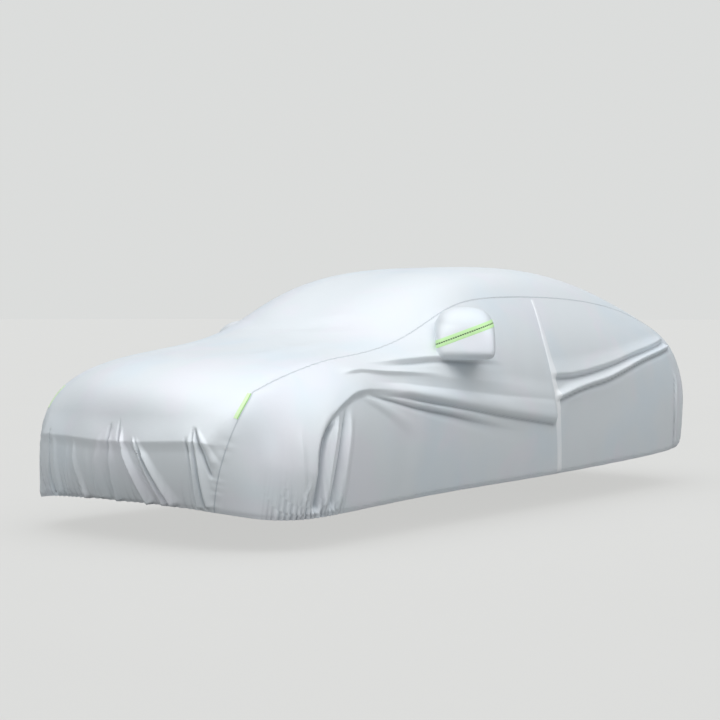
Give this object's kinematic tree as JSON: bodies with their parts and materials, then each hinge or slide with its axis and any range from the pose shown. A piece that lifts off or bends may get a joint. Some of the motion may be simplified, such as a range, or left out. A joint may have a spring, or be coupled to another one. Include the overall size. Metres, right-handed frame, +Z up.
{
  "type": "car cover",
  "caption": "Fitted silver cloth cover draped over the form of a fastback car, with mirror pockets, reflective tapes, a zip flap and an open hem.",
  "frame": {"origin": "underside of the roof cloth on the middle line, where the roof of the car carries it", "axes": "+X to the car's left side, +Y to its tail, +Z up"},
  "size_m": [2.0886, 4.8866, 1.2938],
  "materials": {
    "silver_cloth": "satin",
    "reflective_tape": "satin",
    "flap_cloth": "satin"
  },
  "bodies": {
    "root": {"centre_panel": "silver_cloth", "side_panel_left": "silver_cloth", "side_panel_right": "silver_cloth", "mirror_pocket_upper_left": "silver_cloth", "mirror_pocket_lower_left": "silver_cloth", "mirror_pocket_upper_right": "silver_cloth", "mirror_pocket_lower_right": "silver_cloth", "mirror_tape_left": "reflective_tape", "mirror_tape_right": "reflective_tape", "lamp_tape_left": "reflective_tape", "lamp_tape_right": "reflective_tape", "zip_flap_left": "flap_cloth"}
  },
  "joints": []
}
